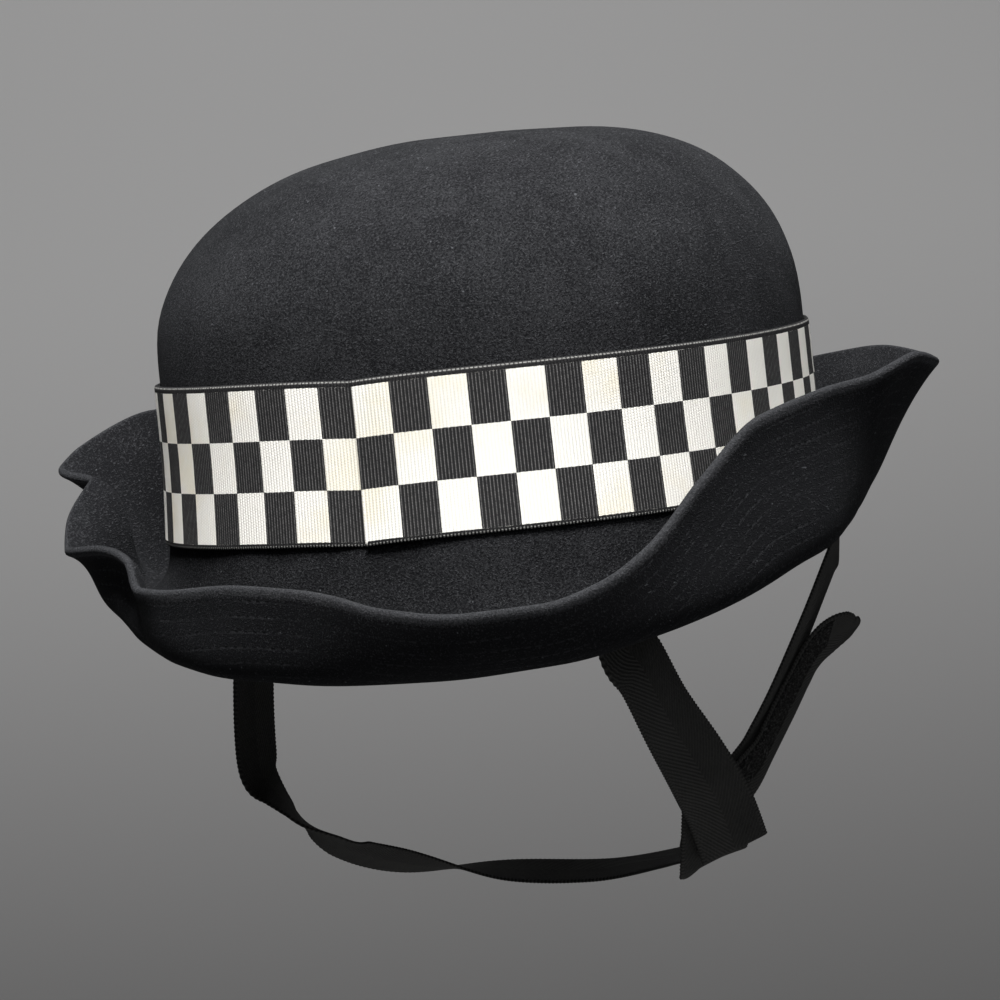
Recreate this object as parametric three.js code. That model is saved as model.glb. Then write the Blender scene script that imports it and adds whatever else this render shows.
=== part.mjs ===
import * as THREE from 'three';

// A soft felt bowler hat with a checked ribbon round its crown, and a tape chin strap shaped as it is worn.
// Millimetres, +Z up. The wearer faces -Y and has the left hand at +X. The origin is the middle of the head
// opening, about level with the lowest felt of the brim, which is at the back.
// A turn is an angle round the hat in degrees, 0 at the dead back and growing towards the wearer's right.

const feltThickness = 2.6;
const tapeWidth = 20;
const tapeThickness = 1;
const layerGap = 0.3;
const layerStep = tapeThickness + layerGap;

// Plan of the crown, outside the felt, at the height of the band's middle
const ovalHalfLength = 103.6;
const ovalHalfWidth = 88.2;
const ovalSquareness = 2.2;

// Side of the crown: it narrows upwards, and swells a little where the felt comes out over the band
const wallTaper = 0.0009;
const swellShare = 0.026;
const swellHeight = 88.5;
const swellReach = 25;

// Dome: it is fuller in plan than in its rise, and its top leans off the axis
const domeBase = 91.5;
const domeHeight = 49.5;
const domeFullness = 2.97;
const domeRiseFullness = 2.2;
const domeLean = new THREE.Vector3(-5, -2, 0);

// Band: one ribbon that starts under its own end at the back and is lifted over the start there
const bandWidth = 44;
const bandThickness = 0.9;
const bandMiddle = 58;
const bandUnderTurn = 5;
const bandLiftFrom = 12;
const bandLiftTo = 6;
const bandTurnStep = 5;
const bandLines = [1, 0.5, 0, -1];
const seamDip = 1.8;
const seamDipReach = 11;
const rightSideDip = 2.2;
const leftSideDip = 0.8;

// Root of the brim: how far above the roll the wall starts to turn out, and how tight the turn is
const rootRise = 20;
const rootClearance = 2;
const rootTightness = 0.55;
const rootRows = [
  { turn: -180, dip: 1.8, rollOut: 14.2 },
  { turn: -150, dip: 9.5, rollOut: 13 },
  { turn: -120, dip: 19, rollOut: 10.5 },
  { turn: -90, dip: 21.1, rollOut: 9 },
  { turn: -60, dip: 18.6, rollOut: 11.3 },
  { turn: -34, dip: 8.8, rollOut: 10 },
  { turn: -13, dip: 2.7, rollOut: 14 },
  { turn: 6, dip: -0.3, rollOut: 13.8 },
  { turn: 26, dip: 0.9, rollOut: 13.2 },
  { turn: 46, dip: 7.3, rollOut: 11 },
  { turn: 70, dip: 16.6, rollOut: 10.3 },
  { turn: 90, dip: 20.7, rollOut: 7.1 },
  { turn: 115, dip: 26.5, rollOut: 5.4 },
  { turn: 150, dip: 11.3, rollOut: 11.4 },
];

// Edge of the brim: how far out and up it stands, its slope there in degrees from level, and how far the brim
// runs out level from the roll before it turns up, as a share of the way to the edge
const brimEndPull = 0.45;
const edgeRows = [
  { turn: -160, out: 29.9, up: 50, slope: 42, pull: 0.3 },
  { turn: -145, out: 25.4, up: 62.5, slope: 55, pull: 0.3 },
  { turn: -125, out: 27, up: 67.5, slope: 58, pull: 0.3 },
  { turn: -104, out: 31.4, up: 68, slope: 50, pull: 0.3 },
  { turn: -89, out: 41, up: 60.6, slope: 36, pull: 0.3 },
  { turn: -84, out: 42.9, up: 56.2, slope: 26, pull: 0.31 },
  { turn: -75, out: 27.7, up: 52.1, slope: 22, pull: 0.34 },
  { turn: -66, out: 30, up: 43.8, slope: 15, pull: 0.4 },
  { turn: -58, out: 28.8, up: 36, slope: 23, pull: 0.46 },
  { turn: -49, out: 20.6, up: 36.5, slope: 17, pull: 0.34 },
  { turn: -44, out: 17.5, up: 35.7, slope: 28, pull: 0.26 },
  { turn: -39, out: 17, up: 33.8, slope: 46, pull: 0.25 },
  { turn: -33, out: 18.7, up: 26.3, slope: 66, pull: 0.3 },
  { turn: -27, out: 19.2, up: 25.8, slope: 77, pull: 0.4 },
  { turn: -15, out: 21.6, up: 26.9, slope: 81, pull: 0.33 },
  { turn: -5, out: 24.8, up: 25.3, slope: 81, pull: 0.29 },
  { turn: 1, out: 28.1, up: 23.0, slope: 76, pull: 0.29 },
  { turn: 7, out: 31.3, up: 18.9, slope: 71, pull: 0.3 },
  { turn: 15, out: 33.8, up: 16.2, slope: 61, pull: 0.31 },
  { turn: 23, out: 30.9, up: 16.2, slope: 62, pull: 0.31 },
  { turn: 30, out: 27.1, up: 19.9, slope: 68, pull: 0.29 },
  { turn: 36, out: 23.3, up: 26.2, slope: 74, pull: 0.28 },
  { turn: 47, out: 18.8, up: 43, slope: 80, pull: 0.29 },
  { turn: 60, out: 16.6, up: 56.2, slope: 80, pull: 0.26 },
  { turn: 79, out: 17.5, up: 60.3, slope: 76, pull: 0.29 },
  { turn: 92, out: 22.4, up: 61.5, slope: 66, pull: 0.22 },
  { turn: 103, out: 32, up: 65.6, slope: 41, pull: 0.18 },
  { turn: 119, out: 36, up: 62.4, slope: 44, pull: 0.18 },
  { turn: 134, out: 28, up: 65.6, slope: 54, pull: 0.19 },
  { turn: 151, out: 24.4, up: 63, slope: 57, pull: 0.26 },
  { turn: 180, out: 38.8, up: 24.9, slope: 31, pull: 0.28 },
];

// Mesh of the felt: stretches of the turn and their steps, finer over the lobes at the left back
const turnStretches = [
  { from: -180, to: -96, steps: 17 },
  { from: -96, to: -24, steps: 30 },
  { from: -24, to: 180, steps: 38 },
];
const domeSteps = 7;
const rootSteps = 3;
const brimSteps = 6;

// The fold where the tapes of the wearer's right meet: its lowest point, the way down, and the way it faces
const foldPoint = new THREE.Vector3(-63.6, 10.5, -66.9);
const foldDown = new THREE.Vector3(0, -0.66, -0.75).normalize();
const foldFace = facing(129, -33.5);
const hemHeight = 6;

// Tapes, from the wall of the crown downwards. Azimuth and lift give the way the outer face looks, in degrees:
// azimuth 0 is +X and 90 is +Y, and a lift is up from level. Rows at the fold are down, across and out from it.
// A tape is flat on the curved wall, so its middle stands off the felt by more than its edges.
const tapeStep = 6;
const chinWall = { turn: -101, standOff: 0.8, heights: [52, 40, 28] };
const chinRun = [
  { x: 86.5, y: -16.5, z: 10, azimuth: -12, lift: 0 },
  { x: 89.7, y: -15, z: -12, azimuth: -12, lift: 0 },
  { x: 91.3, y: -15.1, z: -35, azimuth: -12, lift: -2 },
  { x: 91, y: -15.6, z: -41.2, azimuth: -7, lift: -9 },
  { x: 88.4, y: -17, z: -45.8, azimuth: 3, lift: -22 },
  { x: 85.4, y: -18.6, z: -50.4, azimuth: 12, lift: -33 },
  { x: 82.4, y: -20.5, z: -55, azimuth: 22, lift: -43 },
  { x: 77, y: -25.7, z: -61.3, azimuth: 50, lift: -50 },
  { x: 72.7, y: -33.8, z: -66.8, azimuth: 75, lift: -48 },
  { x: 60, y: -48, z: -74, azimuth: 90, lift: -62 },
  { x: 35, y: -62, z: -80, azimuth: -40, lift: -80 },
  { x: 5, y: -66, z: -82, azimuth: -90, lift: -80 },
  { x: -22, y: -60, z: -78, azimuth: -150, lift: -75 },
  { x: -40, y: -42, z: -73, azimuth: 180, lift: -65 },
  { x: -50, y: -18, z: -69.5, azimuth: 175, lift: -55 },
];
const chinFold = [
  { down: 9, across: 7, out: -10.5, azimuth: 150, lift: -50 },
  { down: 4.5, across: 7, out: -5.2, azimuth: 138, lift: -40 },
  { down: 0, across: 5.8, out: -2.8 },
  { down: -6, across: 3.8, out: -2.6 },
  { down: -13, across: 1.4, out: -2.6 },
  { down: -24, across: -2.4, out: -2.6 },
];
const backWall = { turn: 40, standOff: 1.2, heights: [45, 36, 26] };
const backRun = [
  { x: -58.3, y: 69.9, z: -0.6, azimuth: 150, lift: -5 },
  { x: -60, y: 64.4, z: -7.1, azimuth: 158, lift: -8 },
  { x: -61.4, y: 51.1, z: -23.1, azimuth: 157, lift: -12 },
  { x: -63.4, y: 35.4, z: -39.5, azimuth: 146, lift: -24 },
  { x: -64.2, y: 23.1, z: -52.1, azimuth: 131, lift: -33 },
];
const frontWall = { turn: 124, standOff: 1.8, heights: [46, 38, 30] };
const frontRun = [
  { x: -78.5, y: -53.5, z: 19, azimuth: 196, lift: -10 },
  { x: -83.5, y: -50.2, z: 12.1, azimuth: 188, lift: -18 },
  { x: -82.6, y: -47.5, z: 9.1, azimuth: 186, lift: -20 },
  { x: -77.6, y: -34.7, z: -6.9, azimuth: 186, lift: -20 },
  { x: -73.8, y: -26, z: -17.6, azimuth: 186, lift: -20 },
  { x: -69.3, y: -15.9, z: -29.8, azimuth: 186, lift: -20 },
  { x: -65.6, y: -8.4, z: -38.9, azimuth: 184, lift: -20 },
  { x: -63.2, y: -2.8, z: -44.9, azimuth: 180, lift: -20 },
];
const frontFold = [
  { down: -9, across: -2.5, out: -12.8, azimuth: 162, lift: -25 },
  { down: -11, across: 3.5, out: -8.2, azimuth: 142, lift: -31 },
  { down: -14, across: 9, out: -5.7 },
];
const tailRun = [
  { x: -85.5, y: -56.5, z: -12, azimuth: 172, lift: -50, width: 6 },
  { x: -84.6, y: -55.6, z: -12.4, azimuth: 172, lift: -48, width: 13 },
  { x: -83.4, y: -54.6, z: -12.9, azimuth: 172, lift: -46, width: 18 },
  { x: -81, y: -52, z: -13.8, azimuth: 173, lift: -42 },
  { x: -77.7, y: -46.4, z: -15.6, azimuth: 175, lift: -32 },
  { x: -75.1, y: -38.7, z: -19.6, azimuth: 178, lift: -22 },
  { x: -71.7, y: -28, z: -28.8, azimuth: 179, lift: -18 },
  { x: -68.2, y: -16.1, z: -39, azimuth: 179, lift: -18 },
  { x: -66.2, y: -8.2, z: -45.1, azimuth: 176, lift: -20 },
];
const tailFold = [
  { down: -8, across: -5.5, out: -12.5, azimuth: 160, lift: -25 },
  { down: -11, across: 1.5, out: -6.4, azimuth: 142, lift: -31 },
  { down: -14, across: 8, out: -4.2 },
];

// The unit vector at an azimuth and a lift.
function facing(azimuth, lift) {
  const round = THREE.MathUtils.degToRad(azimuth);
  const up = THREE.MathUtils.degToRad(lift);
  return new THREE.Vector3(Math.cos(up) * Math.cos(round), Math.cos(up) * Math.sin(round), Math.sin(up));
}

// A smooth curve round the hat through one column of a table, which never overshoots its rows.
function aroundHat(rows, column) {
  const count = rows.length;
  const turnAt = (i) => rows[THREE.MathUtils.euclideanModulo(i, count)].turn + 360 * Math.floor(i / count);
  const valueAt = (i) => rows[THREE.MathUtils.euclideanModulo(i, count)][column];
  const slopeAt = (i) => (valueAt(i + 1) - valueAt(i)) / (turnAt(i + 1) - turnAt(i));
  const tangentAt = (i) => {
    const before = slopeAt(i - 1);
    const after = slopeAt(i);
    return before * after <= 0 ? 0 : (2 * before * after) / (before + after);
  };
  return (turn) => {
    const inside = turnAt(0) + THREE.MathUtils.euclideanModulo(turn - turnAt(0), 360);
    let i = 0;
    while (turnAt(i + 1) <= inside) i += 1;
    const span = turnAt(i + 1) - turnAt(i);
    const t = (inside - turnAt(i)) / span;
    const ease = t * t * (3 - 2 * t);
    const leave = t * (1 - t) * (1 - t) * span * tangentAt(i);
    const arrive = t * t * (1 - t) * span * tangentAt(i + 1);
    return valueAt(i) * (1 - ease) + valueAt(i + 1) * ease + leave - arrive;
  };
}

const dip = aroundHat(rootRows, 'dip');
const rollOut = aroundHat(rootRows, 'rollOut');
const edgeOut = aroundHat(edgeRows, 'out');
const edgeUp = aroundHat(edgeRows, 'up');
const edgeSlope = aroundHat(edgeRows, 'slope');
const startPull = aroundHat(edgeRows, 'pull');

// The oval's point at a turn, and the level direction straight out of the crown there.
function ovalPoint(turn) {
  const angle = THREE.MathUtils.degToRad(turn);
  const along = Math.abs(Math.cos(angle) / ovalHalfLength) ** ovalSquareness;
  const across = Math.abs(Math.sin(angle) / ovalHalfWidth) ** ovalSquareness;
  const radius = (along + across) ** (-1 / ovalSquareness);
  return new THREE.Vector3(-radius * Math.sin(angle), radius * Math.cos(angle), 0);
}

function straightOut(turn) {
  const angle = THREE.MathUtils.degToRad(turn);
  const sine = -Math.sin(angle);
  const cosine = Math.cos(angle);
  const x = (Math.sign(sine) * Math.abs(sine / ovalHalfWidth) ** (ovalSquareness - 1)) / ovalHalfWidth;
  const y = (Math.sign(cosine) * Math.abs(cosine / ovalHalfLength) ** (ovalSquareness - 1)) / ovalHalfLength;
  return new THREE.Vector3(x, y, 0).normalize();
}

// A point on the side of the crown, or a level distance off it.
function onWall(turn, height, offset) {
  const swell = swellShare * Math.exp(-(((height - swellHeight) / swellReach) ** 2));
  const girth = 1 - wallTaper * (height - bandMiddle) + swell;
  return ovalPoint(turn).multiplyScalar(girth).addScaledVector(straightOut(turn), offset).setZ(height);
}

// Height of a line along the band: share 1 is its top edge and -1 its bottom edge.
function bandHeight(turn, share) {
  const side = Math.sin(THREE.MathUtils.degToRad(turn));
  const sideDip = side > 0 ? rightSideDip * side : -leftSideDip * side;
  const fromSeam = Math.abs(turn - 360 * Math.round(turn / 360));
  return bandMiddle + (share * bandWidth) / 2 - sideDip - seamDip * Math.exp(-fromSeam / seamDipReach);
}

// The middle of the felt's thickness. Its stage is 0 at the top, 1 at the foot of the dome, 2 where the wall
// starts to turn out, 3 at the bottom of the roll and 4 at the edge of the brim.
function wallFoot(turn) {
  return Math.min(dip(turn) + rootRise, bandHeight(turn, -1) - rootClearance);
}

function domePoint(turn, stage) {
  const angle = ((1 - stage) * Math.PI) / 2;
  const across = Math.cos(angle) ** (2 / domeFullness);
  const rise = Math.sin(angle) ** (2 / domeRiseFullness);
  const height = domeBase + (domeHeight - feltThickness / 2) * rise;
  const wall = onWall(turn, height, -feltThickness / 2).multiplyScalar(across);
  return wall.setZ(height).addScaledVector(domeLean, rise * rise);
}

function rootCurve(turn) {
  const low = dip(turn);
  const roll = rollOut(turn);
  return new THREE.CubicBezierCurve(
    new THREE.Vector2(-feltThickness / 2, wallFoot(turn)),
    new THREE.Vector2(-feltThickness / 2, low + rootTightness * roll),
    new THREE.Vector2((1 - rootTightness) * roll, low),
    new THREE.Vector2(roll, low),
  );
}

function brimCurve(turn) {
  const root = new THREE.Vector2(rollOut(turn), dip(turn));
  const edge = new THREE.Vector2(edgeOut(turn), edgeUp(turn));
  const reach = root.distanceTo(edge);
  const slope = THREE.MathUtils.degToRad(edgeSlope(turn));
  const along = new THREE.Vector2(Math.cos(slope), Math.sin(slope));
  return new THREE.CubicBezierCurve(
    root,
    new THREE.Vector2(root.x + startPull(turn) * reach, root.y),
    edge.clone().addScaledVector(along, -brimEndPull * reach),
    edge,
  );
}

function feltMiddle(turn, stage) {
  if (stage < 1) return domePoint(turn, stage);
  if (stage < 2) {
    return onWall(turn, THREE.MathUtils.lerp(domeBase, wallFoot(turn), stage - 1), -feltThickness / 2);
  }
  const point = stage < 3 ? rootCurve(turn).getPoint(stage - 2) : brimCurve(turn).getPoint(stage - 3);
  return onWall(turn, point.y, point.x);
}

// The frame of the felt at a point: the way down the section, and the outer face's normal.
function feltFrame(turn, stage) {
  const nudge = 0.01;
  const down = feltMiddle(turn, stage + nudge).sub(feltMiddle(turn, stage - nudge)).normalize();
  const round = feltMiddle(turn + nudge, stage).sub(feltMiddle(turn - nudge, stage));
  return { down, normal: down.clone().cross(round).normalize() };
}

// Stages of the felt's rings at a turn, with the band's own lines among them.
function stagesAt(turn) {
  const foot = wallFoot(turn);
  const dome = steps(0, 1, domeSteps).slice(1);
  const wall = bandLines.map((share) => 1 + (domeBase - bandHeight(turn, share)) / (domeBase - foot));
  return [...dome, ...wall, ...steps(2, 3, rootSteps), ...steps(3, 4, brimSteps).slice(1)];
}

function steps(from, to, count) {
  return Array.from({ length: count + 1 }, (_, i) => THREE.MathUtils.lerp(from, to, i / count));
}

// Builds a mesh from points and triangles.
function meshOf(name, points, triangles, material) {
  const geometry = new THREE.BufferGeometry().setFromPoints(points);
  geometry.setIndex(triangles.flat());
  geometry.computeVertexNormals();
  const mesh = new THREE.Mesh(geometry, new THREE.MeshStandardMaterial(material));
  mesh.name = name;
  return mesh;
}

// The felt: rings down the outer face, one round the edge, and back up the inner face, closed at the top.
function feltHat() {
  const turns = turnStretches.flatMap(({ from, to, steps: count }) => steps(from, to, count).slice(1));
  const columns = turns.map((turn) => {
    const outer = [];
    const inner = [];
    for (const stage of stagesAt(turn)) {
      const middle = feltMiddle(turn, stage);
      const { normal } = feltFrame(turn, stage);
      outer.push(middle.clone().addScaledVector(normal, feltThickness / 2));
      inner.unshift(middle.clone().addScaledVector(normal, -feltThickness / 2));
    }
    const tip = feltMiddle(turn, 4).addScaledVector(feltFrame(turn, 4).down, feltThickness / 2);
    return [...outer, tip, ...inner];
  });
  const rings = columns[0].length;
  const top = new THREE.Vector3(0, 0, domeBase + domeHeight).add(domeLean);
  const points = [top, ...columns.flat(), top.clone().setZ(top.z - feltThickness)];
  const last = points.length - 1;
  const index = (column, ring) => 1 + (column % columns.length) * rings + ring;
  const triangles = [];
  for (let j = 0; j < columns.length; j += 1) {
    triangles.push([0, index(j, 0), index(j + 1, 0)]);
    for (let i = 0; i < rings - 1; i += 1) {
      triangles.push([index(j, i), index(j, i + 1), index(j + 1, i + 1)]);
      triangles.push([index(j, i), index(j + 1, i + 1), index(j + 1, i)]);
    }
    triangles.push([index(j, rings - 1), last, index(j + 1, rings - 1)]);
  }
  return meshOf('felt_hat', points, triangles, { color: 0x17191d, roughness: 0.95, metalness: 0 });
}

// A closed ribbon between two grids of points, its front and its back, each a row of points at each station.
function ribbon(name, front, back, material) {
  const across = front[0].length;
  const size = front.length * across;
  const points = [...front.flat(), ...back.flat()];
  const frontIndex = (i, j) => i * across + j;
  const backIndex = (i, j) => size + frontIndex(i, j);
  const triangles = [];
  const quad = (a, b, c, d) => triangles.push([a, b, c], [a, c, d]);
  const end = front.length - 1;
  const side = across - 1;
  for (let i = 0; i < end; i += 1) {
    for (let j = 0; j < side; j += 1) {
      quad(frontIndex(i, j), frontIndex(i + 1, j), frontIndex(i + 1, j + 1), frontIndex(i, j + 1));
      quad(backIndex(i, j), backIndex(i, j + 1), backIndex(i + 1, j + 1), backIndex(i + 1, j));
    }
    quad(frontIndex(i, 0), backIndex(i, 0), backIndex(i + 1, 0), frontIndex(i + 1, 0));
    quad(frontIndex(i, side), frontIndex(i + 1, side), backIndex(i + 1, side), backIndex(i, side));
  }
  for (let j = 0; j < side; j += 1) {
    quad(frontIndex(0, j), frontIndex(0, j + 1), backIndex(0, j + 1), backIndex(0, j));
    quad(frontIndex(end, j), backIndex(end, j), backIndex(end, j + 1), frontIndex(end, j + 1));
  }
  return meshOf(name, points, triangles, material);
}

// The band runs from under its own end, round by the wearer's left, to the lifted end at the back.
function checkBand() {
  const count = (360 + bandUnderTurn) / bandTurnStep;
  const row = (turn, offset) => {
    const lift = 1 - THREE.MathUtils.smoothstep(turn + 360, bandLiftTo, bandLiftFrom);
    const raise = turn > -180 ? 0 : lift * (bandThickness + layerGap);
    return bandLines.map((share) => onWall(turn, bandHeight(turn, share), offset + raise));
  };
  const turns = steps(bandUnderTurn, -360, count);
  const front = turns.map((turn) => row(turn, layerGap + bandThickness));
  const back = turns.map((turn) => row(turn, layerGap));
  return ribbon('check_band', front, back, { color: 0x8b8982, roughness: 0.8, metalness: 0 });
}

// Stations of a tape: a point, the way the outer face looks, and the width there.
function wallStations({ turn, standOff, heights }) {
  const offset = -feltThickness - standOff - tapeThickness / 2;
  return heights.map((height) => ({ at: onWall(turn, height, offset), face: straightOut(turn), width: tapeWidth }));
}

function freeStations(rows) {
  return rows.map(({ x, y, z, azimuth, lift, width = tapeWidth }) => ({
    at: new THREE.Vector3(x, y, z),
    face: facing(azimuth, lift),
    width,
  }));
}

function fromFold(down, across, out) {
  const side = foldDown.clone().cross(foldFace).normalize();
  return foldPoint.clone().addScaledVector(foldDown, down).addScaledVector(side, across).addScaledVector(foldFace, out);
}

function foldStations(rows) {
  return rows.map(({ down, across, out, azimuth, lift }) => ({
    at: fromFold(down, across, out),
    face: azimuth === undefined ? foldFace : facing(azimuth, lift),
    width: tapeWidth,
  }));
}

// The hem turns back on itself behind the tape, one layer in.
function hemStations() {
  const radius = layerStep / 2;
  const centre = -radius - tapeThickness / 2;
  const bend = steps(0, Math.PI, 4).map((angle) => ({
    at: fromFold(centre + radius * Math.sin(angle), 0, radius * (Math.cos(angle) - 1)),
    face: foldFace.clone().multiplyScalar(Math.cos(angle)).addScaledVector(foldDown, Math.sin(angle)),
    width: tapeWidth,
  }));
  const end = { at: fromFold(-hemHeight, 0, -layerStep), face: foldFace.clone().negate(), width: tapeWidth };
  return [...bend, end];
}

// A tape along its stations, on a smooth route and with its face square to it.
function tape(name, stations) {
  const route = new THREE.CatmullRomCurve3(stations.map(({ at }) => at));
  const faces = new THREE.CatmullRomCurve3(stations.map(({ face }) => face), false, 'catmullrom');
  const spans = stations.length - 1;
  const places = [0];
  for (let i = 0; i < spans; i += 1) {
    const count = Math.max(1, Math.round(stations[i].at.distanceTo(stations[i + 1].at) / tapeStep));
    places.push(...steps(i, i + 1, count).slice(1));
  }
  const front = [];
  const back = [];
  for (const place of places) {
    const i = Math.min(Math.floor(place), spans - 1);
    const width = THREE.MathUtils.lerp(stations[i].width, stations[i + 1].width, place - i);
    const at = route.getPoint(place / spans);
    const along = route.getTangent(place / spans);
    const across = faces.getPoint(place / spans).cross(along).normalize();
    const face = along.clone().cross(across);
    const edges = [-width / 2, width / 2].map((half) => at.clone().addScaledVector(across, half));
    front.push(edges.map((edge) => edge.clone().addScaledVector(face, tapeThickness / 2)));
    back.push(edges.map((edge) => edge.clone().addScaledVector(face, -tapeThickness / 2)));
  }
  return ribbon(name, front, back, { color: 0x0d0d0f, roughness: 0.85, metalness: 0 });
}

const hat = new THREE.Group();
hat.name = 'bowler_hat';
hat.add(feltHat());
hat.add(checkBand());
hat.add(tape('chin_tape', [...wallStations(chinWall), ...freeStations(chinRun), ...foldStations(chinFold)]));
hat.add(tape('back_tape', [...wallStations(backWall), ...freeStations(backRun), ...hemStations()]));
hat.add(tape('front_tape', [...wallStations(frontWall), ...freeStations(frontRun), ...foldStations(frontFold)]));
hat.add(tape('tail_tape', [...freeStations(tailRun), ...foldStations(tailFold)]));

export default hat;
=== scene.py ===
import math

import bpy
import numpy as np
from mathutils import Matrix, Vector


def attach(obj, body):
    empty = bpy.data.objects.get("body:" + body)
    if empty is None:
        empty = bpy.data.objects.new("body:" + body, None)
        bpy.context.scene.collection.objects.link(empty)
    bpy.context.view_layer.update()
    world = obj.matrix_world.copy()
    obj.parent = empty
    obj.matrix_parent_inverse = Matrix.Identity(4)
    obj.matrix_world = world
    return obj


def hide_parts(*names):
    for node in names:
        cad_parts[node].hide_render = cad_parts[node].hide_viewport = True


# A soft felt bowler hat with a checked ribbon and a tape chin strap. Shapes are worked out in
# millimetres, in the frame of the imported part, and go into Blender in metres. A turn is an angle
# round the hat in degrees, 0 at the dead back and growing towards the wearer's right.
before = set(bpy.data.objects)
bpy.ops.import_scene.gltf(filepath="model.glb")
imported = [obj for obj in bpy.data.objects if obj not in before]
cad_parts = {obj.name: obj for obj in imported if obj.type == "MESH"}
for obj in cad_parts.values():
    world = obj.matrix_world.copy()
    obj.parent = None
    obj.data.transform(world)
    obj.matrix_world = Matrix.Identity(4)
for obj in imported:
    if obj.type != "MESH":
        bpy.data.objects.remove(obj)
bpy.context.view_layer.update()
bpy.ops.object.select_all(action="DESELECT")
metre = 0.001
print("frame loaded")

# Camera and light

camera = {
    "aim": (0, 0, 58),
    "distance": 1500,
    "azimuth": 201,
    "elevation": 3.9,
    "roll": 6,
    "right": 2.05,
    "down": 21.6,
    "lens": 188.5,
    "sensor": 36,
    "clip": (0.05, 60),
}


def cameraAxes():
    azimuth, elevation, roll = (math.radians(camera[key]) for key in ("azimuth", "elevation", "roll"))
    flat = math.cos(elevation)
    back = Vector((math.sin(azimuth) * flat, -math.cos(azimuth) * flat, math.sin(elevation)))
    level = Vector((math.cos(azimuth), math.sin(azimuth), 0))
    up = back.cross(level)
    right = level * math.cos(roll) - up * math.sin(roll)
    return right, back.cross(right), back


def makeCamera():
    right, up, back = cameraAxes()
    data = bpy.data.cameras.new("photoCamera")
    data.lens = camera["lens"]
    data.sensor_width = camera["sensor"]
    data.clip_start, data.clip_end = camera["clip"]
    made = bpy.data.objects.new("photoCamera", data)
    place = Vector(camera["aim"]) + back * camera["distance"]
    place = place + right * camera["right"] - up * camera["down"]
    turned = Matrix((right, up, back)).transposed().to_4x4()
    made.matrix_world = Matrix.Translation(place * metre) @ turned
    bpy.context.scene.collection.objects.link(made)
    bpy.context.scene.camera = made


# Lengths here are in metres. Pairs of steps are where a smooth change starts and ends.
studio = {
    "aim": (0, 0, 0.06),
    "world": (0.30, 0.305, 0.31),
    "worldStrength": 0.15,
    "floorLevel": -1.0,
    "floorStart": -8,
    "floorWidth": 16,
    "bendStart": 0.6,
    "bendRadius": 1.6,
    "bendSteps": 24,
    "wallHeight": 4,
    "floorColour": (0.31, 0.31, 0.314),
    "floorRoughness": 0.9,
    "shade": 0.86,
    "shadeColour": 0.1,
    "shadeSteps": (-0.62, 0.1),
    "shadeStart": 0.02,
    "mottle": 0.04,
    "mottleScale": 0.6,
}
# A light's place and spot are how far they are towards the camera, to its right and up from the aim
lights = [
    {"name": "keyLight", "size": 0.7, "power": 78, "place": (0.78, 0.02, 1.45), "colour": (1, 0.985, 0.96)},
    {"name": "fillLight", "size": 1.2, "power": 5, "place": (1.6, 0.7, 0.8), "colour": (0.96, 0.98, 1)},
    {"name": "topLight", "size": 0.9, "power": 8, "place": (-0.4, -0.1, 1.5), "colour": (0.95, 0.97, 1)},
    {"name": "wallLight", "size": 0.7, "power": 4, "place": (-1.4, -0.15, 1.1), "colour": (1, 1, 1),
     "spot": (-2.2, 0, -0.15)},
]


def fromAim(steps):
    right, up, back = cameraAxes()
    towards, sideways, rise = steps
    return Vector(studio["aim"]) + back * towards + right * sideways + Vector((0, 0, rise))


def makeLight(light):
    place = fromAim(light["place"])
    spot = fromAim(light.get("spot", (0, 0, 0)))
    bpy.ops.object.light_add(type="AREA", location=place)
    made = bpy.context.object
    made.name = light["name"]
    made.data.shape = "DISK"
    made.data.size = light["size"]
    made.data.energy = light["power"]
    made.data.color = light["colour"]
    made.rotation_euler = (spot - place).to_track_quat("-Z", "Y").to_euler()


def makeSweep():
    # A pale floor that bends up into a wall on the far side of the hat
    right, up, back = cameraAxes()
    away = Vector((-back.x, -back.y, 0)).normalized()
    side = away.cross(Vector((0, 0, 1)))
    start, radius, level = studio["bendStart"], studio["bendRadius"], studio["floorLevel"]
    profile = [(studio["floorStart"], level), (start, level)]
    for i in range(1, studio["bendSteps"] + 1):
        angle = math.pi / 2 * i / studio["bendSteps"]
        profile.append((start + radius * math.sin(angle), level + radius * (1 - math.cos(angle))))
    profile.append((profile[-1][0], level + studio["wallHeight"]))
    half = studio["floorWidth"] / 2
    points = []
    for run, height in profile:
        for reach in (-half, half):
            points.append(away * run + side * reach + Vector((0, 0, height)))
    faces = [(2 * i, 2 * i + 1, 2 * i + 3, 2 * i + 2) for i in range(len(profile) - 1)]
    mesh = bpy.data.meshes.new("studioFloor")
    mesh.from_pydata(points, [], faces)
    mesh.update()
    floor = bpy.data.objects.new("studioFloor", mesh)
    bpy.context.scene.collection.objects.link(floor)
    for polygon in mesh.polygons:
        polygon.use_smooth = True
    floor.data.materials.append(floorMaterial())


def makeStudio():
    for light in lights:
        makeLight(light)
    world = bpy.data.worlds.new("studioWorld")
    world.use_nodes = True
    background = world.node_tree.nodes["Background"]
    background.inputs["Color"].default_value = (*studio["world"], 1)
    background.inputs["Strength"].default_value = studio["worldStrength"]
    bpy.context.scene.world = world
    bpy.context.scene.view_settings.view_transform = "Standard"
    makeSweep()


# Shader maths


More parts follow.
